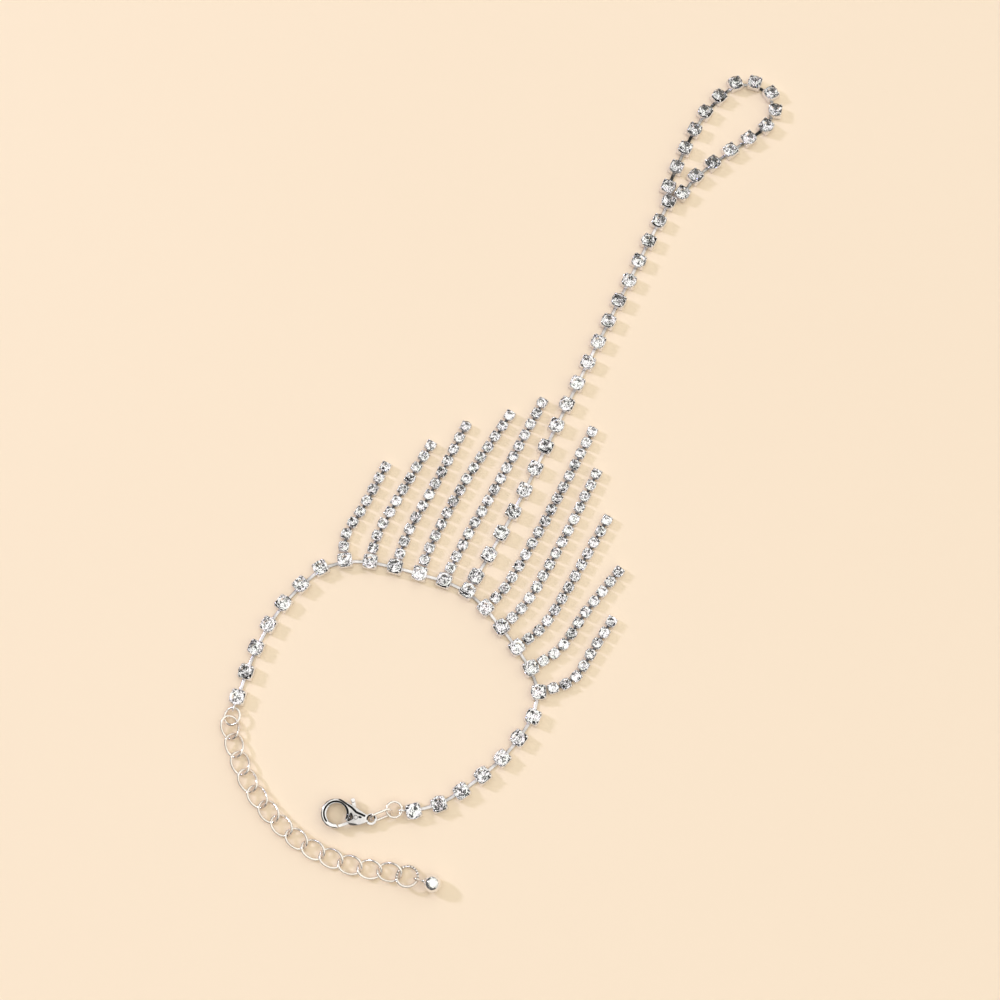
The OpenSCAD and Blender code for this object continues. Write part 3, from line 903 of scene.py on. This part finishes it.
def end_loop(name, cup_at, out, height, heading):
    """The loop on an end cup of the wrist band, on the side that out points to."""
    middle = cup_at + LOOP_OUT * MM * np.array((math.cos(out), math.sin(out), 0))
    middle[2] = height * MM
    return upright_loop(name, LOOP_R, Vector(middle), heading, SETTING_SILVER)


def shade_points(piece, share):
    """Stores how much painted shade a lined silver takes at each point of a piece, from 0 to 1."""
    mark = piece.data.attributes.new(SHADE, "FLOAT", "POINT")
    mark.data.foreach_set("value", share.astype(np.float32))


def notch(ring, radius, middle, turn):
    """Files fine notches across the far half of a ring that lies at middle, turned by turn, and paints
    shade into them.
    """
    at = rows_of(ring.data)
    own = (at - np.array(middle)) @ np.array(turn)
    round_it = np.arctan2(own[:, 1], own[:, 0])
    core = np.column_stack((np.cos(round_it), np.sin(round_it), np.zeros(len(at)))) * radius * MM
    core = core @ np.array(turn).T + np.array(middle)
    far_half = np.clip((core[:, 1] - middle[1]) / (radius * MM) * NOTCH_FADE + NOTCH_START, 0, 1)
    depth = NOTCH_DEPTH * far_half * (0.5 - 0.5 * np.cos(NOTCHES * round_it)) ** 2
    at += (core - at) * depth[:, None]
    ring.data.vertices.foreach_set("co", at.ravel())
    shade_points(ring, np.clip(NOTCH_SHADE * depth / NOTCH_DEPTH, 0, 1))
    ring.data.update()


def cast_piece(name, node, grain, rounds):
    """A cast or stamped piece of the clasp: the CAD solid with its edges rounded over."""
    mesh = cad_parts[node].data.copy()
    mesh.transform(Matrix.Scale(1 / MM, 4))
    merged = bmesh.new()
    merged.from_mesh(mesh)
    bmesh.ops.remove_doubles(merged, verts=merged.verts, dist=SAME_CAST_POINT)
    merged.to_mesh(mesh)
    merged.free()
    host = in_scene(name, mesh)
    remesh = host.modifiers.new("even skin", "REMESH")
    remesh.mode = "VOXEL"
    remesh.voxel_size = grain
    remesh.use_smooth_shade = True
    soften = host.modifiers.new("soft edges", "SMOOTH")
    soften.factor = SMOOTHING
    soften.iterations = rounds
    skin = plain_mesh(host)
    skin.transform(Matrix.Scale(MM, 4))
    skin.name = name
    skin.materials.clear()
    skin.materials.append(CLASP_SILVER)
    return in_scene(name, skin)


def near_line(points, line):
    """Distance of each point from a bent line, both in a plan."""
    near = np.full(len(points), np.inf)
    for a, b in zip(np.array(line[:-1]), np.array(line[1:])):
        run = b - a
        share = np.clip((points - a) @ run / (run @ run), 0, 1)
        near = np.minimum(near, np.linalg.norm(points - a - share[:, None] * run, axis=1))
    return near


def arc_line(turns, radii):
    """Points round the middle of the clasp's plan, from degrees and radii."""
    turns = np.radians(turns)
    return radii[:, None] * np.column_stack((np.cos(turns), np.sin(turns)))


def claw_line():
    """The claw's line in plan, as a smooth arc."""
    stops = np.array(CLAW_LINE)
    turns = np.arange(stops[0][0], stops[-1][0], -CLAW_LINE_STEP)
    return arc_line(turns, np.interp(-turns, -stops[:, 0], stops[:, 1]))


def eye_line():
    """The line round the far side of the eye's hole."""
    turns = np.arange(*EYE_LINE_TURNS, EYE_LINE_STEP)
    return EYE_MIDDLE + arc_line(turns, np.full(len(turns), EYE_LINE_R))


def sink_lines_with_painted_shade(casting, lines):
    """Rounds the claw's section, sinks the lines into the upper side and paints their bottoms dark as
    shade.
    """
    mesh = casting.data
    at = rows_of(mesh) / MM
    facing = rows_of(mesh, "normal")
    cosine = math.cos(CLASP_TURN)
    sine = math.sin(CLASP_TURN)
    plan = (at[:, :2] - np.array(CLASP_AT[:2])) @ np.array(((cosine, -sine), (sine, cosine)))
    high = at[:, 2] - CLASP_AT[2]
    aside = np.clip((np.linalg.norm(plan - CLAW_MIDDLE, axis=1) - CLAW_R) / CLAW_HALF, -1, 1)
    first, last = CLAW_TO_HOUSING
    claw = np.clip((last - plan[:, 0]) / (last - first), 0, 1)
    lower = 1 - claw * (1 - np.sqrt(1 - CLAW_ROUND * aside ** 2))
    near = np.min([near_line(plan, line) for line in lines], axis=0)
    upper = np.clip(facing[:, 2] * LINE_FACING, 0, 1) * (high > 0)
    at[:, 2] = CLASP_AT[2] + high * lower - LINE_DEPTH * np.exp(-((near / LINE_BLUR) ** 2)) * upper
    mesh.vertices.foreach_set("co", (at * MM).ravel())
    shade_points(casting, np.clip((LINE_HALF - near) / LINE_EDGE + 0.5, 0, 1) * upper)
    mesh.update()
    return casting


def end_ball():
    """Ball at the end of the extender, with its neck and the loop that it hangs by."""
    solid = np.vstack(islands("end_ball"))
    top = solid[solid[:, 2] > solid[:, 2].max() - BALL_TOP * MM]
    ball_at = Vector((*top[:, :2].mean(axis=0), BALL_R * MM + BALL_LIFT * MM))
    ring_at = lie_of("end_ring")[0]
    towards = Vector((ring_at.x - ball_at.x, ring_at.y - ball_at.y, 0)).normalized()
    heading = math.atan2(towards.y, towards.x)
    eye_at = Vector((ring_at.x, ring_at.y, 0)) - towards * RING_R["end_ring"] * MM
    eye = solid[np.linalg.norm(solid[:, :2] - np.array(eye_at[:2]), axis=1) < EYE_REACH * MM]
    eye_at.z = (eye[:, 2].min() + eye[:, 2].max()) / 2

    turns = [math.pi * k / BALL_STEPS for k in range(1, BALL_STEPS)]
    skin = [(-BALL_R * math.cos(turn), BALL_R * math.sin(turn)) for turn in turns]
    ball = lathe("ball", [(-BALL_R, 0), *skin, (BALL_R, 0)], BALL_SIDES, BALL_SILVER)
    put(ball, ball_at, Matrix.Rotation(heading, 3, "Z"))
    loop = upright_loop("ball_loop", BALL_LOOP_R, eye_at, heading, WIRE_SILVER)

    neck_from = eye_at - towards * BALL_LOOP_R * MM
    neck_run = ball_at - neck_from
    skin_at = neck_run.length / MM - BALL_R
    profile = NECK_START + [(skin_at + far, radius) for far, radius in NECK_END]
    neck = lathe("neck", profile, NECK_SIDES, BALL_SILVER)
    put(neck, neck_from, neck_run.to_track_quat("X", "Z").to_matrix())
    return join("end_ball_piece", [ball, loop, neck])


def stand_camera():
    """Camera above the near side, where the photograph was taken from."""
    data = bpy.data.cameras.new("camera")
    data.sensor_width = SENSOR
    data.lens = FOCAL_PX / IMAGE_PX * SENSOR
    data.clip_start = CAMERA_NEAREST
    camera = in_scene("camera", data)
    away = Vector((0, -math.cos(CAMERA_ELEVATION), math.sin(CAMERA_ELEVATION)))
    camera.location = AIM + CAMERA_FAR * away
    camera.rotation_euler = (math.pi / 2 - CAMERA_ELEVATION, 0, 0)
    bpy.context.scene.camera = camera


def stand_key_light():
    """Square light aimed at the middle of the bracelet."""
    data = bpy.data.lights.new("key", "AREA")
    data.size = KEY_SIZE
    data.energy = KEY_POWER
    data.color = KEY_TONE
    lamp = in_scene("key", data)
    flat = KEY_FAR * math.cos(KEY_ELEVATION)
    height = KEY_FAR * math.sin(KEY_ELEVATION)
    lamp.location = (flat * math.cos(KEY_AZIMUTH), flat * math.sin(KEY_AZIMUTH), height)
    lamp.rotation_euler = (-lamp.location).to_track_quat("-Z", "Y").to_euler()


def build_studio():
    """Makes the panels all round the scene's world."""
    world = bpy.data.worlds.new("studio")
    world.use_nodes = True
    world.node_tree.nodes.clear()
    nodes = Nodes(world.node_tree)
    nodes.add("ShaderNodeOutputWorld", None, {"Surface": studio(nodes)})
    bpy.context.scene.world = world


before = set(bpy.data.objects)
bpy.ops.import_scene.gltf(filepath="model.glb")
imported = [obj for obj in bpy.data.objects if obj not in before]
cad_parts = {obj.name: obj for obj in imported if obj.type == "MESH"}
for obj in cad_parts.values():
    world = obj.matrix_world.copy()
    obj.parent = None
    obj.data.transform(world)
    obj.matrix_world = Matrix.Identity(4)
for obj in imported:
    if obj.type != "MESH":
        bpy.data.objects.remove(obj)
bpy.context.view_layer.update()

SETTING_SILVER = new_material("setting silver", silver(
    dull=(0.82, 0.8, 0.81, 1), bright=(0.96, 0.94, 0.95, 1), rough=0.16, metallic=0.8, **SHEET_DENTS,
))
STRAP_SILVER = new_material("strap silver", silver(
    dull=(0.4, 0.38, 0.38, 1), bright=(0.9, 0.86, 0.87, 1), rough=0.3, contrast=2.5, **SHEET_DENTS,
))
# Finger loop's straps: mostly near black as painted shade between the loop's cups, with random brighter
# lumps
PAINTED_SHADE_LOOP_STRAP_SILVER = new_material("loop strap silver", silver(
    dull=(0.03, 0.03, 0.03, 1), bright=(0.5, 0.48, 0.47, 1), rough=0.14, contrast=5.0, **SHEET_DENTS,
))
# Near-black silver: painted shade inside the cups and on the straps between the small cups
PAINTED_SHADE_SILVER = new_material("shaded silver", silver(
    dull=(0.02, 0.02, 0.02, 1), bright=(0.2, 0.19, 0.2, 1), rough=0.25, **SHEET_DENTS,
))
WIRE_PLATE = {
    "dull": (0.74, 0.66, 0.6, 1), "bright": (1.0, 0.95, 0.9, 1), "rough": 0.08, "metallic": 0.8,
    "contrast": 2.0, **WIRE_DENTS,
}
WIRE_SILVER = new_material("wire silver", silver(**WIRE_PLATE))
# The end ring's wire silver, with painted shade in its notches
NOTCHED_SILVER = new_material("notched silver", silver(**WIRE_PLATE, lined=True))
# The clasp's silver takes painted shade along its lines
CLASP_SILVER = new_material("clasp silver", silver(
    dull=(0.4, 0.38, 0.39, 1), bright=(0.92, 0.89, 0.9, 1), rough=0.08, contrast=2.0, lined=True,
    **CAST_DENTS,
))
BALL_SILVER = new_material("ball silver", silver(
    dull=(0.84, 0.83, 0.83, 1), bright=(0.97, 0.95, 0.95, 1), rough=0.05, metallic=0.9, **BALL_DENTS,
))
CRYSTAL = new_material("crystal", crystal)
FOIL = new_material("foil", foil)

STRINGING = geometry_tree("stringing", stringing, {
    "Geometry": "Geometry", "Piece": "Object", "Tilt": "Float", "Seed": "Int",
    "Finish": "Material", "Back": "Material",
})
WIRE = geometry_tree("bent wire", bent_wire, {
    "Geometry": "Geometry", "Half length": "Float", "Half width": "Float", "Straight": "Float",
    "Twist": "Float", "Wire": "Float", "Steps": "Int", "Finish": "Material",
})

# One of each repeated piece, deleted once the strings are made
setting = one_setting("one_setting", SETTING)
small_setting = one_setting("one_small_setting", SMALL_SETTING)
strap = one_strap("one_strap", STRAP)
small_strap = one_strap("one_small_strap", SMALL_STRAP)
stone = one_stone("one_stone", STONE)
small_stone = one_stone("one_small_stone", SMALL_STONE)
patterns = [setting, small_setting, strap, small_strap, stone, small_stone]

# Strings of large cups; the hand's straps begin at the middle cup of the wrist band
places = {part: seats_of(part + "_stones") for part in STRINGS}
wrist_middle = places["wrist"][len(places["wrist"]) // 2]
for number, part in enumerate(STRINGS):
    spots = places[part]
    turns = turns_along(spots)
    parts = [cups_at(part + "_settings", setting, spots, turns, number)]
    strapped = np.vstack((wrist_middle, spots)) if part == "hand" else spots
    # The finger loop's straps take painted shade
    finish = PAINTED_SHADE_LOOP_STRAP_SILVER if part == "finger" else STRAP_SILVER
    parts.append(straps_between(
        part + "_straps", strap, strapped, SETTING["half"], finish, seed=STRAP_SEED + number
    ))
    if part == "wrist":
        out = turns[0] + math.pi
        parts.append(end_loop("extender_loop", spots[0], out, EXTENDER_LOOP_Z, out))
        out = turns[-1] + CLASP_LOOP_ASIDE
        parts.append(end_loop("clasp_loop", spots[-1], out, CLASP_LOOP_Z, CLASP_LOOP_TURN))
    done(join(part + "_settings", parts), BODY, part + "_cups")
    stones = stones_at(part + "_crystals", stone, spots, turns, STONE_SEED + number)
    done(stones, BODY, part + "_stones", slot="stone")

# Fringe: the seats of all ten strands, then their cups, straps and stones
fringe_nodes = [f"fringe_{i}" for i in range(1, FRINGES + 1)]
cup_parts = []
stone_parts = []
for number, node in enumerate(fringe_nodes):
    spots = seats_of(node, top=SMALL_STONE["table_z"] - TABLE_SKIN)
    turns = turns_along(spots)
    cup_parts.append(cups_at(node + "_settings", small_setting, spots, turns, number))
    # The fringe's straps between the small cups take painted shade
    cup_parts.append(straps_between(
        node + "_straps", small_strap, spots, SMALL_SETTING["half"], PAINTED_SHADE_SILVER
    ))
    stone_parts.append(stones_at(node + "_crystals", small_stone, spots, turns, SMALL_STONE_SEED + number))
fringe_settings = join("fringe_settings", cup_parts)
done(fringe_settings, BODY, *fringe_nodes, slot="small_cup")
fringe_crystals = join("fringe_crystals", stone_parts)
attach(fringe_crystals, BODY)

# Extender links, rings and the oval link
for i in range(1, LINKS + 1):
    node = f"extender_link_{i}"
    link = wire_loop(f"link_{i}", *LINK_HALVES, LINK_WIRE, WIRE_SILVER, twist=LINK_TWIST)
    done(put(link, *lie_of(node)), BODY, node)
for node, radius in RING_R.items():
    notched = node == "end_ring"
    wire = END_WIRE if notched else RING_WIRE
    finish = NOTCHED_SILVER if notched else WIRE_SILVER
    steps = NOTCH_STEPS if notched else WIRE_STEPS
    lie = lie_of(node)
    ring = put(wire_loop("round_" + node, radius, radius, wire, finish, steps=steps), *lie)
    if notched:
        notch(ring, radius, *lie)
    done(ring, BODY, node)
half_long, half_wide = OVAL_HALVES
oval = wire_loop("oval_link", half_wide, half_wide, RING_WIRE, WIRE_SILVER, straight=half_long - half_wide)
done(put(oval, *lie_of("clasp_link")), BODY, "clasp_link")

done(end_ball(), BODY, "end_ball")

# Clasp
housing = cast_piece("clasp_housing", "clasp_body", *HOUSING_SKIN)
clasp_lines = (claw_line(), RIDGE_LINE, THROAT_LINE, DASH_LINE, eye_line())
done(sink_lines_with_painted_shade(housing, clasp_lines), BODY, "clasp_body")
done(cast_piece("clasp_gate", "clasp_lever", *GATE_SKIN), LEVER_BODY, "clasp_lever")
done(cast_piece("clasp_rivet", "clasp_pin", *RIVET_SKIN), BODY, "clasp_pin")

for pattern in patterns:
    bpy.data.objects.remove(pattern)

# Surface, camera and light
corners = ((-1, -1), (1, -1), (1, 1), (-1, 1))
floor = new_object("floor", [(x * FLOOR_HALF, y * FLOOR_HALF, 0) for x, y in corners], [(0, 1, 2, 3)])
floor.data.materials.append(new_material("peach card", surface))
stand_camera()
stand_key_light()
build_studio()
bpy.context.scene.view_settings.view_transform = "Standard"
